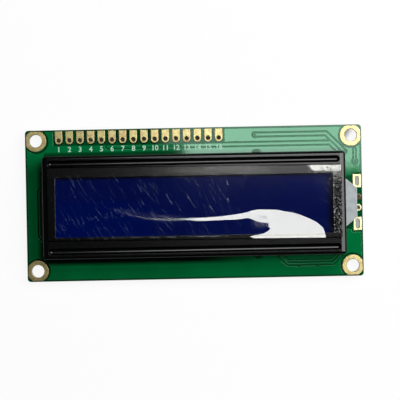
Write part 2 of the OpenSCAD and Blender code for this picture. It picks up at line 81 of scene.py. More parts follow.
pin_total = 16
pin_pad_width = 1.8 * MM
pin_pitch = (pads_high.x - pads_low.x - pin_pad_width) / (pin_total - 1)
ring_radius = 2.55 * MM
ring_x, ring_y = rings_high.x - ring_radius, rings_high.y - ring_radius
mask_gap = 0.12 * MM
film_turn = -0.4  # degrees
window_lap = 1.0 * MM  # how far the screen runs on under the bezel, past its window
window_left, window_right = screen_low.x + window_lap, screen_high.x - window_lap
window_bottom, window_top = screen_low.y + window_lap, screen_high.y - window_lap


# ---------------------------------------------------------------- shader sums


def paint(red, green, blue):
    """A paint mixed as 0 to 255 screen values, as the shader's own linear colour."""
    shares = [value / 255 for value in (red, green, blue)]
    return tuple(s / 12.92 if s <= 0.04045 else ((s + 0.055) / 1.055) ** 2.4 for s in shares) + (1.0,)


class Amount:
    """What one node gives. Sums on it add Math nodes, so that a pattern reads as plain maths."""

    def __init__(self, tree, socket):
        self.tree, self.socket = tree, socket

    def sum(self, operation, *terms):
        return self.tree.add("ShaderNodeMath", {"operation": operation}, dict(enumerate(terms)))

    def __add__(self, other):
        return self.sum("ADD", self, other)

    def __sub__(self, other):
        return self.sum("SUBTRACT", self, other)

    def __rsub__(self, other):
        return self.sum("SUBTRACT", other, self)

    def __mul__(self, other):
        return self.sum("MULTIPLY", self, other)

    def __truediv__(self, other):
        return self.sum("DIVIDE", self, other)

    def __lt__(self, other):
        return self.sum("LESS_THAN", self, other)

    def __gt__(self, other):
        return self.sum("GREATER_THAN", self, other)

    def __abs__(self):
        return self.sum("ABSOLUTE", self)

    def root(self):
        return self.sum("SQRT", self)

    def wave(self):
        return self.sum("SINE", self)

    def floor(self):
        return self.sum("FLOOR", self)

    def fraction(self):
        return self.sum("FRACT", self)

    def chance(self, draw):
        """A fixed random number from 0 to 1 for each whole value, a different one for each draw."""
        spread = 7.31
        inputs = {"W": self * spread + draw}
        return self.tree.add("ShaderNodeTexWhiteNoise", {"noise_dimensions": "1D"}, inputs)

    def most(self, other):
        return self.sum("MAXIMUM", self, other)

    def least(self, other):
        return self.sum("MINIMUM", self, other)

    __radd__, __rmul__ = __add__, __mul__


class Tree:
    """A node tree and the one way that nodes are added to it."""

    def __init__(self, owner):
        owner.use_nodes = True
        self.nodes, self.links = owner.node_tree.nodes, owner.node_tree.links
        self.nodes.clear()

    def add(self, kind, settings=None, inputs=None, output=0):
        node = self.nodes.new(kind)
        for setting, value in (settings or {}).items():
            setattr(node, setting, value)
        for key, value in (inputs or {}).items():
            self.feed(node.inputs[key], value)
        return Amount(self, node.outputs[output]) if node.outputs else node

    def feed(self, socket, value):
        if isinstance(value, Amount):
            self.links.new(value.socket, socket)
        else:
            socket.default_value = value

    def ramp(self, value, low, high):
        """0 below low and 1 above high, eased between them."""
        inputs = {"Value": value, "From Min": low, "From Max": high}
        return self.add("ShaderNodeMapRange", {"interpolation_type": "SMOOTHSTEP"}, inputs)

    def mix(self, share, first, second):
        """first where share is 0, second where it is 1."""
        return self.add("ShaderNodeMix", {"data_type": "RGBA"}, {0: share, 6: first, 7: second}, 2)

    def parts(self, vector):
        """The three numbers of a vector."""
        split = self.nodes.new("ShaderNodeSeparateXYZ")
        self.feed(split.inputs[0], vector)
        return [Amount(self, out) for out in split.outputs]


class Finish(Tree):
    """A surface finish: one Principled shader, with the patterns that feed it laid out in millimetres."""

    def __init__(self, name, even):
        self.material = bpy.data.materials.new(name)
        super().__init__(self.material)
        self.shader = self.nodes.new("ShaderNodeBsdfPrincipled")
        self.add("ShaderNodeOutputMaterial", inputs={"Surface": Amount(self, self.shader.outputs[0])})
        self.give(even)

    def give(self, values):
        """Sets these inputs of the shader, and hands back the material."""
        for name, value in values.items():
            self.feed(self.shader.inputs[name], value)
        return self.material

    def place(self, turn=0.0, stretch=(1, 1, 1), shift=(0, 0, 0)):
        """Where a point is, in mm, moved by shift, in a pattern drawn out by stretch and then turned about Z
        by turn degrees."""
        where = self.add("ShaderNodeTexCoord", output=3)
        to_mm = {"Vector": where, "Scale": (1 / MM,) * 3, "Location": shift}
        scaled = self.add("ShaderNodeMapping", {}, to_mm)
        drawn = {"Vector": scaled, "Scale": stretch, "Rotation": (0, 0, math.radians(turn))}
        return self.add("ShaderNodeMapping", {"vector_type": "TEXTURE"}, drawn)

    def noise(self, size, detail=2.0, rough=0.5, **where):
        """Soft blotches about as big as size, in mm, near 0.5 on the whole."""
        inputs = {"Vector": self.place(**where), "Scale": 1 / size, "Detail": detail, "Roughness": rough}
        return self.add("ShaderNodeTexNoise", {}, inputs)

    def facing(self):
        """How far a face points along Z, from 0 at a side wall to 1 on the flat."""
        normal = self.add("ShaderNodeNewGeometry", output=3)
        return abs(self.parts(normal)[2])

    def eased_edges(self, radius):
        """The normal as if each sharp edge had a small radius, in mm."""
        return self.add("ShaderNodeBevel", {"samples": 6}, {"Radius": radius * MM})

    def edge_wear_and_sheen(self, radius):
        """1 on sharp edges and 0 on the flat: where a finish rubs thin, and where an edge carries a painted
        highlight.
        """
        plain = self.add("ShaderNodeNewGeometry", output=3)
        pair = {0: self.eased_edges(radius), 1: plain}
        same = self.add("ShaderNodeVectorMath", {"operation": "DOT_PRODUCT"}, pair, 1)
        return self.ramp(1 - same, 0.01, 0.2)

    def relief(self, height, depth, normal=None):
        """A surface that rises by depth, in mm, where height goes from 0 to 1."""
        inputs = {"Height": height, "Distance": depth * MM, "Strength": 1.0}
        if normal is not None:
            inputs["Normal"] = normal
        return self.add("ShaderNodeBump", {}, inputs)

    def spot(self, x, y, radius, blur):
        """1 within radius of a point on the face, in mm, fading over blur."""
        east, north, _ = self.parts(self.place(shift=(-x, -y, 0)))
        away = (east * east + north * north).root()
        return 1 - self.ramp(away, radius, radius + blur)


# ---------------------------------------------------------------- finishes of the board

# In each function below, f is the Finish whose patterns are being laid out


def from_ring(f):
    """How far a point is from the nearest mounting hole's middle, in mm."""
    east, north, _ = f.parts(f.place())
    across, up = abs(east) - ring_x / MM, abs(north) - ring_y / MM
    return (across * across + up * up).root()


def thin_line(f, away):
    """1 where away, in mm, is near 0."""
    return 1 - f.ramp(away, 0.08, 0.22)


def mask_edge(f):
    """1 on the dark line where the lacquer stops, round the mounting rings and the header pads."""
    east, north, _ = f.parts(f.place())
    first = (pads_low.x + pin_pad_width / 2) / MM
    pitch, half_pad = pin_pitch / MM, pin_pad_width / MM / 2
    nearest = (east - first) / pitch + 0.5
    across = (nearest.fraction() - 0.5) * pitch
    below = (pads_low.y / MM + half_pad - north).most(0.0)
    to_pad = abs((across * across + below * below).root() - half_pad - mask_gap / MM)
    reach = 0.5
    in_row = (east > pads_low.x / MM - reach) * (east < pads_high.x / MM + reach)
    in_row = in_row * (north > pads_low.y / MM - reach)
    to_ring = abs(from_ring(f) - ring_radius / MM - mask_gap / MM)
    return (thin_line(f, to_pad) * in_row).most(thin_line(f, to_ring))


def bezel_shade(f, beyond):
    """Painted shade on the lacquer, from 0 to 1, standing in for the bezel's shadow and the weaker light
    toward the lower left: along its left and lower walls, fading out from beyond, in mm, a lighter shade a
    little toward the board's rim, and a thin line along its upper wall. The board's back has none of it."""
    east, north, up = f.parts(f.place())
    west_wall, south_wall, east_wall, north_wall = (
        edge / MM for edge in (bezel_low.x, bezel_low.y, bezel_high.x, bezel_high.y)
    )
    away = (west_wall - east).most((south_wall - north) * 1.4)
    reached = (1 - f.ramp(north, 7.5, 11.0)) * (east < east_wall)
    near = (1 - f.ramp(away, 0.3 + beyond, 2.3 + beyond)) * (1 - f.ramp(east, 0.0, 18.0))
    # rim: a lighter painted shade toward the board's lower left, where less lamp light falls
    rim = f.ramp(away, 1.6, 3.4) * (0.34 - 0.12 * f.ramp(east, -22.0, 5.0))
    # over: a thin line of painted shade along the bezel's upper wall
    over = (1 - f.ramp(north, north_wall + 0.1, north_wall + 0.8)) * (north > 0.0) * 0.7
    over = over * (east > west_wall) * (east < east_wall)
    on_front = up > (board_low.z + board_high.z) / 2 / MM
    return (near.most(rim) * reached).most(over) * on_front


def lacquer(name, dark, light, glass_weave, dull, beyond, edge_dark, edge_light):
    """Glossy green solder mask, flooded on: clouds from dark to light, a gloss that ripples slightly and
    goes dull toward the upper right, side walls that show what is under the lacquer, a dark line where it
    stops round the pads and rings, and painted shade beside the bezel, pushed out by beyond, in mm."""
    f = Finish(name, {"IOR": 1.62, "Specular Tint": (0.62, 1.0, 0.8, 1.0)})
    clouds = f.ramp(f.noise(7.0, 3.0), 0.3, 0.7)
    grain = f.noise(0.35, 2.0)
    east, north, _ = f.parts(f.place())
    cloth_pitch = 0.42
    turns = math.tau / cloth_pitch
    weave = (east * turns).wave() * (north * turns).wave()
    green = f.mix(clouds * 0.6 + grain * 0.4 + weave * glass_weave, dark, light)
    edge = f.mix(f.noise(0.25, 3.0, stretch=(3, 3, 0.3)), edge_dark, edge_light)
    on_face = f.facing() > 0.5
    ripple = f.noise(1.3, 2.0) * 0.8 + weave * 0.08 + north * 0.92
    matt = f.ramp(north, 6.5, 8.5) * f.ramp(east, -12.0, 4.0) * dull
    # The dark line where the lacquer stops and the painted shade beside the bezel both darken the colour
    # here
    edge_line_and_painted_shade = (mask_edge(f) * 0.75).most(bezel_shade(f, beyond)) * on_face
    return f.give(
        {
            "Base Color": f.mix(edge_line_and_painted_shade, f.mix(on_face, edge, green), paint(2, 9, 5)),
            "Roughness": 0.6 - on_face * (0.57 - matt - grain * 0.02),
            "Normal": f.relief(ripple, 0.002, f.eased_edges(0.18)),
        }
    )


def solder_mask():
    """Lacquer on the bare laminate, whose sawn edges show."""
    return lacquer(
        "solder_mask", dark=paint(0, 60, 27), light=paint(0, 76, 38), glass_weave=0.1,
        dull=0.26, beyond=1.2, edge_dark=paint(120, 128, 70), edge_light=paint(176, 172, 118),
    )


def masked_copper():
    """The same lacquer over copper foil, which shines back through it."""
    return lacquer(
        "masked_copper", dark=paint(0, 101, 51), light=paint(0, 114, 60), glass_weave=0.03,
        dull=0.0, beyond=0.0, edge_dark=paint(0, 22, 10), edge_light=paint(2, 34, 16),
    )


def gold_plating():
    """Satin immersion gold: fine grain, cloudy tarnish, a painted highlight that makes the pads beside the
    lamp nose paler, one pad stained by flux, pale rims on sharp edges that are part wear and part painted
    highlight, and painted shade on the side walls."""
    f = Finish("gold_plating", {"Metallic": 1.0})
    tarnish = f.ramp(f.noise(0.9, 3.0), 0.42, 0.66)
    stain_x = (round_pads_low.x + round_pads_high.x) / 2 / MM
    stain = f.spot(stain_x, round_pads_high.y / MM - 0.8, 0.7, 0.5)
    stain = stain * (0.5 + f.ramp(f.noise(0.4), 0.4, 0.6) * 0.5)
    gold = f.mix(tarnish * 0.8, paint(172, 162, 112), paint(154, 132, 92))
    east, north, _ = f.parts(f.place())
    # Pads beside the lamp nose painted paler: a painted highlight of the light falling there
    painted_light_by_nose = (east > 33.0) * (abs(north) < 9.0)
    gold = f.mix(painted_light_by_nose * 0.45, gold, paint(204, 206, 164))
    # Pale rims on sharp pad edges: part rubbed wear, part painted highlight
    gold = f.mix(f.edge_wear_and_sheen(0.12) * 0.5, gold, paint(232, 218, 172))
    # Side walls and hole barrels painted dark brown: painted shade
    gold = f.mix(f.facing() > 0.5, paint(84, 64, 38), gold)
    return f.give(
        {
            "Base Color": f.mix(stain, gold, paint(70, 42, 22)),
            "Roughness": 0.24 + f.noise(0.2, 3.0) * 0.12 + stain * 0.5,
            "Normal": f.relief(f.noise(0.12, 3.0), 0.003, f.eased_edges(0.2)),
        }
    )


# ---------------------------------------------------------------- finishes of the display


def black_steel():
    """Semi-gloss black enamel on pressed steel: fine orange peel, dust-fine scratches, edges rubbed to grey,
    and ends that roll down toward their folds."""
    f = Finish("black_steel", {"IOR": 1.42})
    peel = f.noise(0.5, 2.0)
    rub = f.ramp(abs(f.noise(0.5, 2.0, turn=-50, stretch=(16, 1, 1)) - 0.5), 0.0, 0.012)
    wear = f.edge_wear_and_sheen(0.1) * f.ramp(f.noise(1.6, 4.0), 0.45, 0.7)
    enamel = f.mix(f.noise(5.0, 4.0), paint(2, 3, 3), paint(8, 9, 8))
    east, _, _ = f.parts(f.place())
    half = (bezel_high.x - bezel_low.x) / 2 / MM
    fold = f.ramp(f.facing(), 0.05, 0.15) * (1 - f.ramp(f.facing(), 0.9, 0.98))
    roll = f.ramp(abs(east), half - 1.35, half - 0.5) * 0.8
    return f.give(
        {
            "Base Color": f.mix(wear * 0.5, enamel, paint(110, 112, 110)),
            "Roughness": 0.12 + peel * 0.04 + (1 - rub) * 0.05 + fold * 0.3,
            "Metallic": fold,
            "Normal": f.relief(peel * 0.01 - roll, 0.1, f.eased_edges(0.12)),
        }
    )


# The hairlines on the film, kind by kind: the turn in degrees, the mm from lane to lane, the mm of each
# stretch of lane, the random draw, and the share of stretches that hold a line
HAIRLINES = [
    (-55, 0.7, 9.0, 1.0, 0.6),
    (-49, 0.9, 11.0, 11.0, 0.55),
    (-62, 0.8, 7.0, 21.0, 0.55),
    (-72, 1.6, 5.0, 31.0, 0.4),
    (-20, 2.6, 5.0, 41.0, 0.3),
    (35, 3.5, 4.0, 51.0, 0.3),
]
SMEAR_HAIRLINES = (-52, 0.28, 2.4, 61.0, 0.8)


def hairlines(f, turn, spacing, length, draw, kept):
    """Straight fine lines, one to a stretch of lane, each with its own place, length and strength."""
    along, across, _ = f.parts(f.place(turn=turn))
    across = (across + f.noise(9.0, 1.0) * 1.2) / spacing
    lane = across.floor()
    along = along / length + lane.chance(draw) * 5.0
    block = lane * 57.0 + along.floor()
    place = 0.15 + block.chance(draw + 0.3) * 0.7
    start, reach = block.chance(draw + 0.6) * 0.5, 0.15 + block.chance(draw + 0.9) * 0.35
    here = along.fraction() - start
    on = (here > 0.0) * (here < reach) * (block.chance(draw + 1.2) < kept)
    line = 1 - f.ramp(abs(across.fraction() - place) * spacing, 0.004, 0.024)
    return line * on * block.chance(draw + 1.5)


def clear_film():
    """Clear polyester sheet: a faint mirror over the dark screen, hairline scratches, whitened press lines
    along the window, a silvered strip where it clings to the steel, and a painted shadow line along its
    edge."""
    f = Finish("clear_film", {"Metallic": 1.0})
    east, north, _ = f.parts(f.place())
    left, right, low, high = (v / MM for v in (window_left, window_right, window_bottom, window_top))

    # Scratches, most of them to the left, and a smear of very fine ones
    east_dense = 1 - f.ramp(east, -16.0, 26.0)
    smear = (1 - f.ramp(abs(north - 1.6 - east * 0.2), 0.3, 2.2)) * (1 - f.ramp(abs(east + 22), 7.0, 12.0))
    past_window = f.ramp(north, 6.4, 7.4).most(1 - f.ramp(east, -34.0, -32.5))
    worn = (0.3 + 0.5 * east_dense + smear * 0.6) * (1 - 0.7 * past_window)
    scratches = hairlines(f, *HAIRLINES[0])
    for kind in HAIRLINES[1:]:
        scratches = scratches.most(hairlines(f, *kind))
    scratches = scratches.most(hairlines(f, *SMEAR_HAIRLINES) * smear)
    haze = smear * f.ramp(f.noise(0.7, 3.0, turn=-50, stretch=(5, 1, 1)), 0.3, 0.7) * 0.015

    # Press lines over the window's left and lower edges
    press_end = 9.0
    on_left = (1 - f.ramp(abs(east - left - 0.05), 0.03, 0.12)) * (north > low) * (north < high)
    on_low = (1 - f.ramp(abs(north - low + 0.3), 0.03, 0.12)) * (east > left) * (east < right)
    pressed = on_left.most(on_low * (east < press_end))
    pressed = pressed * f.ramp(f.noise(1.4, 3.0, shift=(3, 9, 0)), 0.3, 0.6)
    crossed = on_low * (east > press_end) * 0.03
    marks = (scratches * worn).most(pressed * 0.5).least(1.0)

    # The strip beside the window where the film clings in specks, and where it clings over the bezel
    strip = f.ramp(east, right - 0.1, right + 0.3) * (north > low - 0.05)
    strip = strip * (1 - f.ramp(north, high - 1.0, high + 1.6))
    specks = f.ramp(f.noise(0.42, 1.0), 0.5, 0.57) * strip
    cloud = f.ramp(f.noise(1.4, 3.0, shift=(2, 5, 0)), 0.35, 0.7)
    clings = f.ramp(f.noise(0.6, 1.0, shift=(4, 1, 0)), 0.52, 0.58) * f.ramp(east, right - 4.0, right - 0.5)
    clings = clings * (north > high)
    stuck = f.ramp(north, high - 0.1, high + 0.2) * (1 - f.ramp(east, 12.0, 30.0))

    # The sheet's own trimmed edge, painted dark: a painted shadow line along it
    middle, spread = (sheet_low + sheet_high) / 2 / MM, (sheet_high - sheet_low) / 2 / MM
    span, rise, _ = f.parts(f.place(turn=film_turn, shift=(-middle.x, -middle.y, 0)))
    painted_edge_shadow = f.ramp((abs(span) - spread.x + 0.3).most(abs(rise) - spread.y + 0.55), 0.0, 0.12)

    # Where the mirror is rubbed thin, and where it blurs: along the fold's left end and at two spots
    worn_thin = (1 - f.ramp(east, -17.0, -4.0)) * (1 - f.ramp(north, 0.0, 2.0)) * 0.9
    bent = abs(north + 3.6 - (east + 3.0) * (east + 3.0) * 0.011)
    soft = (1 - f.ramp(east, -8.0, 3.0)) * (1 - f.ramp(bent, 0.4, 1.4))
    soft = soft.most(f.spot(15.0, -4.5, 0.6, 2.4) * 0.9).most(f.spot(13.1, -2.95, 0.4, 0.8) * 0.5)
    soft = soft * (1 - f.ramp(north, -1.5, 0.5)) * 0.1

    clear = f.mix(f.noise(3.0), paint(250, 251, 244), paint(255, 255, 249))
    scratched = f.mix(marks.most(haze * 60.0).least(1.0), clear, paint(180, 205, 255))
    silver = f.mix(cloud, paint(46, 48, 46), paint(124, 127, 124))
    mirror = 0.118
    cover = (mirror - worn_thin * mirror + haze - crossed + marks * 0.27) * (1 - clings * 0.8)
    cover = cover.most(strip * 0.6).most(painted_edge_shadow * 0.8).most(specks * (0.61 + cloud * 0.05))
    return f.give(
        {
            # At the sheet's edge the mirror turns near black: a painted shadow line
            "Base Color": f.mix(strip.most(painted_edge_shadow), scratched, f.mix(specks, paint(8, 8, 8), silver)),
            "Roughness": (0.02 + haze * 4.0 + soft + stuck * 0.06 + marks * 0.4).most(specks * 0.5),
            "Alpha": cover,
            "Normal": f.relief(f.noise(0.3, 2.0) * specks, 0.002),
        }
    )


def polariser():
    """Dark blue polarising sheet over the dark cell, faintly cloudy, with painted shade from the bezel's lip
    taking it to near black along its right and top.
    """
    f = Finish("polariser", {"IOR": 1.45, "Specular IOR Level": 0.06})
    east, north, _ = f.parts(f.place())
    # Painted shade from the bezel's lip, near black along the right and top of the window
    right_painted_shade = f.ramp(east, window_right / MM - 2.2, window_right / MM - 0.3)
    top_painted_shade = f.ramp(north, window_top / MM - 0.9, window_top / MM - 0.1)
    blue = f.mix(f.noise(14.0, 2.0), paint(0, 8, 64), paint(0, 14, 78))
    return f.give(
        {
            "Base Color": f.mix(right_painted_shade.most(top_painted_shade) * 0.85, blue, paint(2, 3, 6)),
            "Roughness": 0.08 + f.noise(2.0) * 0.05,
            "Normal": f.relief(f.noise(4.0), 0.001),
        }
    )


def elastomer():
    """Silicone rubber strip, banded pink and dark where its conductive layers run across it."""
    f = Finish("elastomer", {"IOR": 1.42})
    east, _, _ = f.parts(f.place())
    bands = (east * 35.0).wave()
    return f.give(
        {
            "Base Color": f.mix(f.ramp(bands, -0.2, 0.2), paint(226, 168, 156), paint(58, 48, 48)),
            "Roughness": 0.5 + f.noise(0.6) * 0.2,
            "Normal": f.relief(f.noise(0.2), 0.01, f.eased_edges(0.1)),
        }
    )


def light_guide_acrylic():
    """Milky acrylic block, its edges painted paler than its flat face: a painted highlight for the light its
    moulded walls gather.
    """
    f = Finish("light_guide_acrylic", {"IOR": 1.49})
    haze = f.noise(1.6, 4.0)
    face = f.mix(f.ramp(haze, 0.3, 0.7), paint(141, 149, 150), paint(160, 167, 169))
    return f.give(
        {
            # Paler edges: a painted highlight
            "Base Color": f.mix(f.edge_wear_and_sheen(0.35) * 0.7, face, paint(214, 220, 226)),
            "Roughness": 0.24 + haze * 0.2,
            "Normal": f.relief(f.noise(0.5, 3.0), 0.006, f.eased_edges(0.2)),
        }
    )


# ---------------------------------------------------------------- finishes of the small parts


# The even finishes: the darker and the lighter colour, the size of the blotches in mm, the roughness, the
# depth of the relief in mm, and how metallic they are
EVEN = {
    "cell_glass": (paint(176, 196, 190), paint(196, 214, 210), 6.0, 0.05, 0.001, 0.0),
    "cell_seal": (paint(196, 192, 178), paint(214, 210, 200), 1.5, 0.5, 0.004, 0.0),
    "liquid_crystal": (paint(38, 50, 120), paint(54, 70, 146), 5.0, 0.2, 0.001, 0.0),
    "white_film": (paint(226, 228, 226), paint(242, 243, 242), 4.0, 0.45, 0.002, 0.0),
    "lamp_resin": (paint(236, 238, 240), paint(246, 246, 232), 0.8, 0.15, 0.002, 0.0),
    "tinned_metal": (paint(186, 186, 182), paint(222, 222, 218), 0.5, 0.25, 0.004, 1.0),
    "solder": (paint(176, 178, 180), paint(216, 217, 218), 0.3, 0.22, 0.006, 1.0),
    "resistor_body": (paint(16, 16, 18), paint(34, 34, 38), 0.6, 0.3, 0.006, 0.0),
    "capacitor_body": (paint(150, 122, 86), paint(178, 150, 110), 0.7, 0.4, 0.006, 0.0),
}


def even_finish(name):
    """Two close colours in blotches, a roughness that follows them, and a fine relief."""
    dark, light, size, rough, depth, metallic = EVEN[name]
    f = Finish(name, {"IOR": 1.5, "Metallic": metallic})
    blotches = f.noise(size, 3.0)
    return f.give(
        {
            "Base Color": f.mix(f.ramp(blotches, 0.3, 0.7), dark, light),
            "Roughness": rough + blotches * 0.12,
            "Normal": f.relief(f.noise(size / 5, 2.0), depth, f.eased_edges(0.08)),
        }
    )


def black_resin():
    """Poured epoxy: glossy black with a slow ripple and a few pinholes."""
    f = Finish("black_resin", {"IOR": 1.55})
    pits = f.ramp(f.noise(0.5, 2.0), 0.7, 0.76)
    slow = f.noise(3.5, 2.0)
    return f.give(
        {
            "Base Color": f.mix(slow, paint(12, 12, 13), paint(26, 26, 27)),
            "Roughness": 0.26 + slow * 0.16 + pits * 0.3,
            "Normal": f.relief(slow * 0.9 - pits * 0.5, 0.05, f.eased_edges(0.2)),
        }
    )


def legend_ink():
    """Screen-printed white ink, a little thin in small random patches."""
    f = Finish("legend_ink", {"IOR": 1.5})
    thin = f.ramp(f.noise(0.25, 3.0), 0.35, 0.7)
    return f.give(
        {
            "Base Color": f.mix(thin, paint(150, 196, 168), paint(188, 222, 200)),
            "Roughness": 0.45 + thin * 0.15,
            "Normal": f.relief(thin, 0.004),
        }
    )


def dress(material, *nodes):
    """Gives every face of these solids the one material."""
    for name in nodes:
        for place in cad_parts[name].material_slots:
            place.material = material


def dress_solids():
    dress(solder_mask(), "circuit_board")
    dress(masked_copper(), "front_copper", "back_copper")
    dress(gold_plating(), "mounting_hole_plating", "header_pads", "backlight_slot_pads",
          "backlight_round_pads", "contact_fingers")
    dress(black_steel(), "bezel")
    dress(polariser(), "front_polariser", "rear_polariser")
    dress(even_finish("cell_glass"), "front_glass", "rear_glass")
    dress(even_finish("cell_seal"), "perimeter_seal", "fill_port_plug")
    dress(even_finish("liquid_crystal"), "liquid_crystal")
    dress(elastomer(), "upper_connector_strip", "lower_connector_strip")
    dress(even_finish("white_film"), "diffuser_film", "reflector_film")
    dress(light_guide_acrylic(), "light_guide")
    dress(even_finish("lamp_resin"), "backlight_lamps")
    dress(even_finish("tinned_metal"), "lamp_leads")
    dress(even_finish("solder"), "lamp_solder", "chip_solder")
    dress(black_resin(), "controller_glob_top", "driver_glob_top")
    dress(even_finish("resistor_body"), "chip_resistors")
    dress(even_finish("capacitor_body"), "chip_capacitors")


# ---------------------------------------------------------------- the lifted screen film

# Points on the line where the film folds, in mm: it lies flat above the line and lifts below it
FOLD = [
    (-19, -0.8), (-13, -2.9), (-8, -3.5), (-3, -3.6), (1, -3.55), (4.1, -3.45), (8, -3.12), (11.5, -2.64),
    (14.6, -1.94), (17.2, -1.94), (19.8, -1.99), (22.4, -2.2), (25, -2.98), (27.6, -4.11), (29.3, -5.2),
    (30.2, -6.1), (30.7, -7.2), (30.9, -8.6),
]


def eased(t):
    """0 below 0 and 1 above 1, eased between them."""
    t = min(max(t, 0.0), 1.0)
    return t * t * (3 - 2 * t)


def rounded_ramp(v, radius):
    """0 for negative v and v for positive, rounded where the two meet."""
    return (math.hypot(v, radius) + v) / 2


def fold_at(x):
    """The fold's y at x: a smooth curve through FOLD."""
    x = min(max(x, FOLD[0][0]), FOLD[-1][0] - 1e-6)
    k = max(i for i, point in enumerate(FOLD) if point[0] <= x)
    (x0, y0), (x1, y1) = FOLD[k], FOLD[k + 1]

    def slope(i):
        before, after = FOLD[max(i - 1, 0)], FOLD[min(i + 1, len(FOLD) - 1)]
        return (after[1] - before[1]) / (after[0] - before[0]) * (x1 - x0)

    t = (x - x0) / (x1 - x0)
    start = y0 * (2 * t**3 - 3 * t**2 + 1) + slope(k) * (t**3 - 2 * t**2 + t)
    return start + y1 * (3 * t**2 - 2 * t**3) + slope(k + 1) * (t**3 - t**2)


def climb(y):
    """A height whose slope at each y makes the film mirror the lamps' near edge to an eye straight above.

    All is in mm. A flat film mirrors a point of the lamps' plane that lies spread times y from the middle,
    and their near edge, as that eye sees it, lies at aim. The slope makes up the difference over reach, a
    little less than twice the way up to the lamps, so that the film mirrors just inside their edge.
    """
    spread, aim, reach = 2.333, 16.47, 1070
    return (spread / 2 * y * y - aim * y) / reach


def film_lift(x, y):
    """How far the film stands over its flat lie, in mm: a narrow crease that widens to the right, a corner
    that lifts from the screen toward the lower edge, and a slight curl along the upper edge."""
    line = fold_at(x)
    below = line - y
    width = 0.2 + 0.35 * eased((x + 6) / 9) + 0.55 * eased((x - 3) / 10)
    crease = 0.112 * (rounded_ramp(below, 0.1) - rounded_ramp(below - width, 0.1))
    crease *= eased((x + 24) / 9) * (1 - eased((x - 15) / 6))

    over, under = max(y + 5.2, 0.0), min(y + 5.7, 0.0)
    side = min(max(17.2 - 0.9 * over**2 - 0.6 * under**2, 13.6), 17.1)
    corner = eased((x - side + 2.6) / 3.4)
    lift = climb(line - rounded_ramp(below, 0.2)) - climb(line)
    # At the fold the sheet sinks by as much as it climbs from there to bottom, and evens out toward top
    bottom, top = -7.6, 6.6
    sink = (climb(bottom) - climb(max(line, bottom))) * (1 - eased((y - line) / (top - line)))

    curl = 0.012 * rounded_ramp(y - 5.6, 0.4) * (1 - eased((x - 23.5) / 5))
    return crease + (lift - sink) * corner + curl


def screen_film():
    """The protective sheet: its CAD outline, turned as it was stuck on, with rounded corners."""
    # The solid's box holds the turned sheet, so the sheet's own length and width are worked back from it
    turn = math.radians(film_turn)
    box = sheet_high - sheet_low
    length = (box.x * math.cos(turn) - box.y * abs(math.sin(turn))) / math.cos(2 * turn)
    width = (box.y * math.cos(turn) - box.x * abs(math.sin(turn))) / math.cos(2 * turn)
    corner_r = 0.6 * MM
    above_bezel = 0.03 * MM
    bm = bmesh.new()
    bmesh.ops.create_grid(bm, x_segments=290, y_segments=145, size=0.5)
    bmesh.ops.scale(bm, vec=(length, width, 1), verts=bm.verts)
    for right in (-1, 1):
        for up in (-1, 1):
            centre = Vector((right * (length / 2 - corner_r), up * (width / 2 - corner_r), 0))
            for step in (15, 45, 75):
                out = Vector((right * math.cos(math.radians(step)), up * math.sin(math.radians(step)), 0))
                everything = bm.verts[:] + bm.edges[:] + bm.faces[:]
                bmesh.ops.bisect_plane(
                    bm, geom=everything, plane_co=centre + out * corner_r, plane_no=out, clear_outer=True
                )
    middle = (sheet_low + sheet_high) / 2
    lie = Matrix.Translation((middle.x, middle.y, 0)) @ Matrix.Rotation(turn, 4, "Z")
    bmesh.ops.transform(bm, matrix=lie, verts=bm.verts)
    for v in bm.verts:
        v.co.z = bezel_high.z + above_bezel + film_lift(v.co.x / MM, v.co.y / MM) * MM
    return finished("screen_film", bm, clear_film(), smooth=True)


def finished(name, bm, material, smooth=False):
    """The bmesh as a piece of the part, on its one body."""
    mesh = bpy.data.meshes.new(name)
    for face in bm.faces:
        face.smooth = smooth
    bm.to_mesh(mesh)
    bm.free()
    mesh.materials.append(material)
    piece = bpy.data.objects.new(name, mesh)
    bpy.context.scene.collection.objects.link(piece)
    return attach(piece, "root")


# ---------------------------------------------------------------- printed numbers


def pin_numbers():
    """A plain number under each header hole, printed on the lacquer."""
    height, ink, row_y = 1.2 * MM, 0.015 * MM, 13.3 * MM
    digit_share = 0.7
    size = height / digit_share
    bm = bmesh.new()
    for pin in range(pin_total):
        letters = bpy.data.curves.new("number", "FONT")
        letters.body = str(pin + 1)
        letters.align_x, letters.align_y = "CENTER", "CENTER"
        letters.size, letters.extrude, letters.offset = 1.0, 0.5, 0.02
        letters.resolution_u = 3
        carrier = bpy.data.objects.new("number", letters)
        bpy.context.scene.collection.objects.link(carrier)
        evaluated = carrier.evaluated_get(bpy.context.evaluated_depsgraph_get())
        solid = bpy.data.meshes.new_from_object(evaluated)
        x = pads_low.x + pin_pad_width / 2 + pin * pin_pitch
        spot = Matrix.Translation((x, row_y, copper_top + ink / 2))
        solid.transform(spot @ Matrix.Diagonal((size, size, ink, 1)))
        bm.from_mesh(solid)
        bpy.data.objects.remove(carrier)
        bpy.data.curves.remove(letters)
        bpy.data.meshes.remove(solid)
    bmesh.ops.recalc_face_normals(bm, faces=bm.faces)
    return finished("pin_numbers", bm, legend_ink())


# ---------------------------------------------------------------- studio


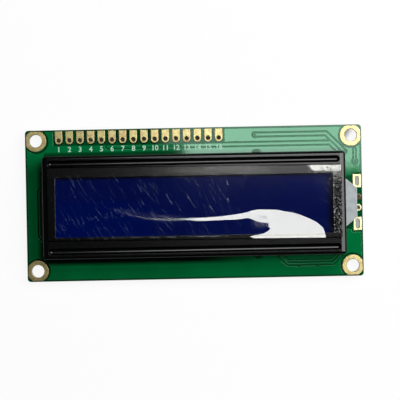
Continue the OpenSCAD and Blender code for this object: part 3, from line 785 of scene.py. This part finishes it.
def floor_shade(t, east, north):
    """How deep the paper lies in the board's own shade, from 0 to 1: under the board's middle, under and
    beside the lamp nose, and toward one side of the upper right mounting hole."""
    half = (board_high.x - board_low.x) / 2
    inner = t.ramp(east, 3.6 * MM - half, 5.0 * MM - half)
    inner = inner * (1 - t.ramp(east, half - 6.0 * MM, half - 4.2 * MM))
    inner = inner * (1 - t.ramp(north, board_high.y - 1.7 * MM, board_high.y))
    inner = inner * t.ramp(north, board_low.y + 0.2 * MM, board_low.y + 6 * MM)

    beside = abs(north - (slots_low.y + slots_high.y) / 2)
    nose = (1 - t.ramp(beside, 2.4 * MM, 3.4 * MM)) * 0.38
    nose = nose + (1 - t.ramp(beside, 6.6 * MM, 8.6 * MM)) * 0.62
    nose = nose * (east > half - 8.0 * MM) * (1 - t.ramp(east, half - 0.3 * MM, half + 0.3 * MM))

    across, up = east - ring_x, north - ring_y
    corner = 1 - t.ramp((across * across + up * up).root(), 1.5 * MM, 2.3 * MM)
    corner = corner * (1 - t.ramp(across * 0.86 - up * 0.5, -1.3 * MM, 0.5 * MM)) * 0.75
    return inner.most(nose).most(corner)


def floor():
    """A sheet of paper under the part. What the camera, mirrors and clear pieces see of it is nine parts
    plain white, darkened by floor_shade, to one part lit paper, which holds the part's own soft shadow."""
    bm = bmesh.new()
    bmesh.ops.create_grid(bm, x_segments=1, y_segments=1, size=1.5)
    bmesh.ops.translate(bm, vec=(0, 0, cad_box[0][2]), verts=bm.verts)
    mesh = bpy.data.meshes.new("studio_floor")
    bm.to_mesh(mesh)
    bm.free()
    sheet = bpy.data.objects.new("studio_floor", mesh)
    bpy.context.scene.collection.objects.link(sheet)
    paper = bpy.data.materials.new("white_paper")
    mesh.materials.append(paper)
    t = Tree(paper)
    where = t.add("ShaderNodeTexCoord", output=3)
    east, north, _ = t.parts(where)
    shade = floor_shade(t, east, north)
    names = ("Is Camera Ray", "Is Glossy Ray", "Is Transmission Ray")
    seen = [t.add("ShaderNodeLightPath", output=name) for name in names]
    white_share = seen[0].most(seen[1]).most(seen[2]) * 0.9
    fibre = t.add("ShaderNodeTexNoise", {}, {"Vector": where, "Scale": 900.0, "Detail": 3.0})
    colour = t.mix(fibre, (0.93, 0.93, 0.93, 1), (0.97, 0.97, 0.97, 1))
    matt = t.add("ShaderNodeBsdfDiffuse", {}, {"Color": colour})
    shown = t.mix(shade, (1, 1, 1, 1), paint(50, 42, 34))
    white = t.add("ShaderNodeEmission", {}, {"Color": shown, "Strength": 1.0})
    both = t.add("ShaderNodeMixShader", {}, {0: white_share, 1: matt, 2: white})
    t.add("ShaderNodeOutputMaterial", inputs={"Surface": both})


def sky():
    """White all round for the camera; pale walls and a dark ceiling for what the part reflects."""
    world = bpy.data.worlds.new("studio")
    bpy.context.scene.world = world
    t = Tree(world)
    east, north, up = t.parts(t.add("ShaderNodeTexCoord", output=0))
    toward_lamps = t.ramp(east * 0.7 + north * 0.7, -0.6, 0.8)
    wall = t.mix(toward_lamps, (0.05, 0.051, 0.052, 1), (0.2, 0.202, 0.205, 1))
    wall = t.mix(t.ramp(abs(up), 0.2, 0.4), (0.45, 0.455, 0.46, 1), wall)
    wall = t.mix(t.ramp(up, 0.35, 0.75), wall, (0.008, 0.008, 0.009, 1))
    camera = t.add("ShaderNodeLightPath", output="Is Camera Ray")
    room = t.add("ShaderNodeBackground", {}, {"Color": wall, "Strength": 1.0})
    backdrop = t.add("ShaderNodeBackground", {}, {"Color": (1, 1, 1, 1), "Strength": 1.0})
    both = t.add("ShaderNodeMixShader", {}, {0: camera, 1: room, 2: backdrop})
    t.add("ShaderNodeOutputWorld", inputs={"Surface": both})


# The flat lamps: the west, east, south and north edges, the height, all in metres, and the brightness
SOFTBOXES = {
    "main_softbox": (-0.0065, 0.230, 0.0155, 0.290, 0.6, 7.0),
    "strip_softbox": (-0.045, -0.0065, 0.090, 0.290, 0.6, 7.0),
    "side_softbox": (0.130, 0.460, -0.080, 0.320, 0.42, 5.5),
}


def softbox(name, west, east, south, north, height, brightness):
    """A flat lamp facing down, hidden from the camera."""
    lamp = bpy.data.lights.new(name, "AREA")
    lamp.shape = "RECTANGLE"
    lamp.size, lamp.size_y = east - west, north - south
    lamp.energy = brightness * math.pi * lamp.size * lamp.size_y
    holder = bpy.data.objects.new(name, lamp)
    holder.location = ((east + west) / 2, (north + south) / 2, height)
    holder.visible_camera = False
    bpy.context.scene.collection.objects.link(holder)


def camera():
    """Straight over the board, turned a little, taking in a span of its front face with a margin."""
    distance, span = 0.45, 95.2 * MM
    eye = bpy.data.cameras.new("camera")
    eye.sensor_width = 36.0
    eye.lens = eye.sensor_width * distance / span
    eye.clip_start, eye.clip_end = 0.01, 10.0
    stand = bpy.data.objects.new("camera", eye)
    stand.location = (1.36 * MM, 0.73 * MM, board_high.z + distance)
    stand.rotation_euler = (0, 0, math.radians(-1.13))
    bpy.context.scene.collection.objects.link(stand)
    bpy.context.scene.camera = stand


dress_solids()
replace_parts(screen_film(), "protective_film")
pin_numbers()
floor()
sky()
for lamp_name, lamp_numbers in SOFTBOXES.items():
    softbox(lamp_name, *lamp_numbers)
camera()
bpy.context.scene.view_settings.view_transform = "Standard"
